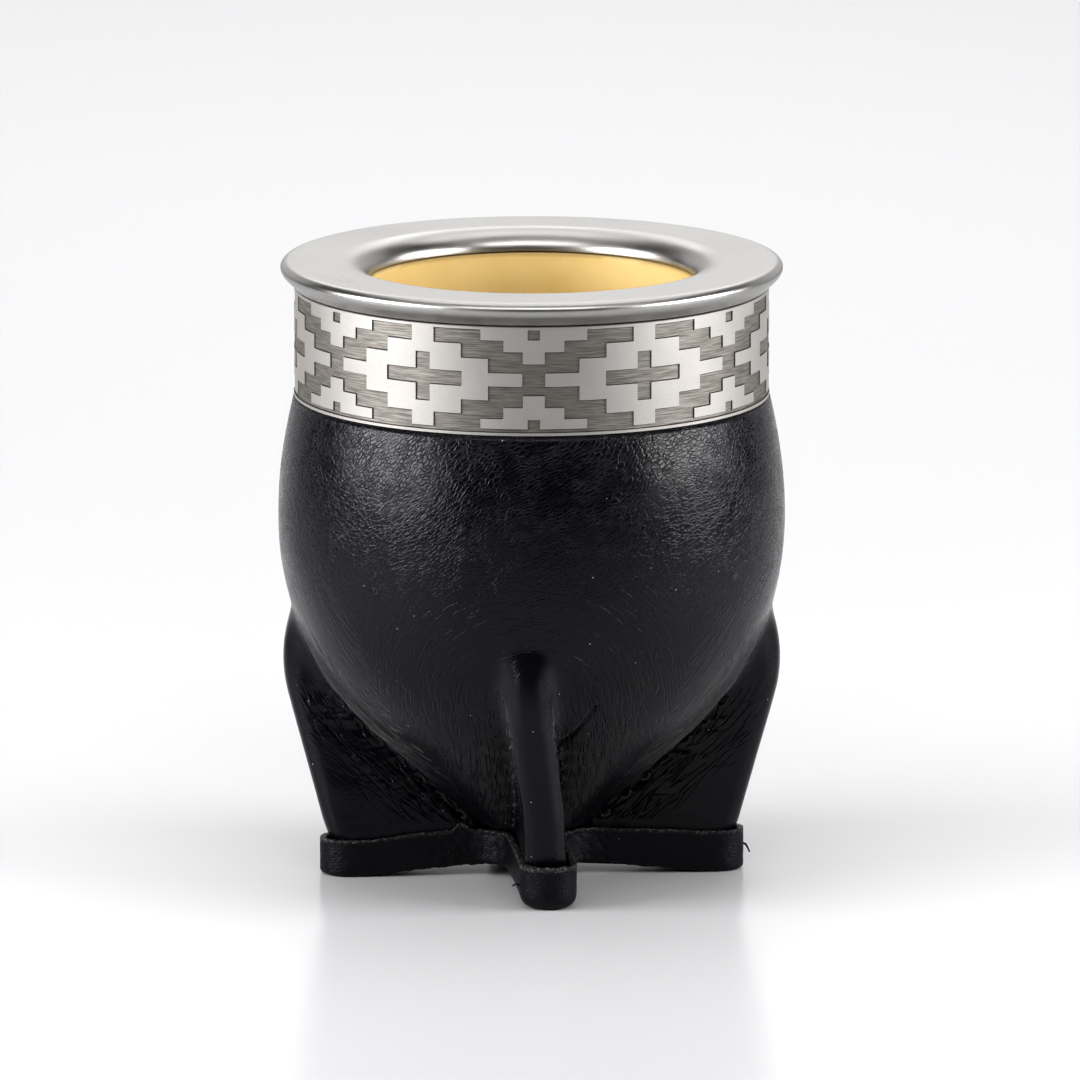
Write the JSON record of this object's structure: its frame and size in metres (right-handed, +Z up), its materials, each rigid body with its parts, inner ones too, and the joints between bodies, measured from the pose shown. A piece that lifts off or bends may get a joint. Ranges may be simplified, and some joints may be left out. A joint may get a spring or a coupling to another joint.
{
  "type": "leather-covered mate cup",
  "caption": "Round-bellied mate cup: calabash in black leather with fin-shaped legs on a cross foot, engraved metal collar and flat metal rim.",
  "frame": {"origin": "on the ground, under the middle of the cup", "axes": "+Z up along the cup's axis; the arms of the cross foot lie along X and Y, and the arm seen in front points to -Y"},
  "size_m": [0.0908, 0.0908, 0.1114],
  "materials": {
    "rim_steel": "satin, polished at the throat",
    "collar_steel": "satin raised figures on a darker brushed field",
    "calabash": "smooth, dry",
    "cover_leather": "fine grain, semi-gloss black",
    "foot_leather": "thick band, matt to semi-gloss black"
  },
  "bodies": {
    "root": {"mouth_rim": "rim_steel", "engraved_collar": "collar_steel", "gourd": "calabash", "leather_cover": "cover_leather", "foot_band": "foot_leather"}
  },
  "joints": []
}
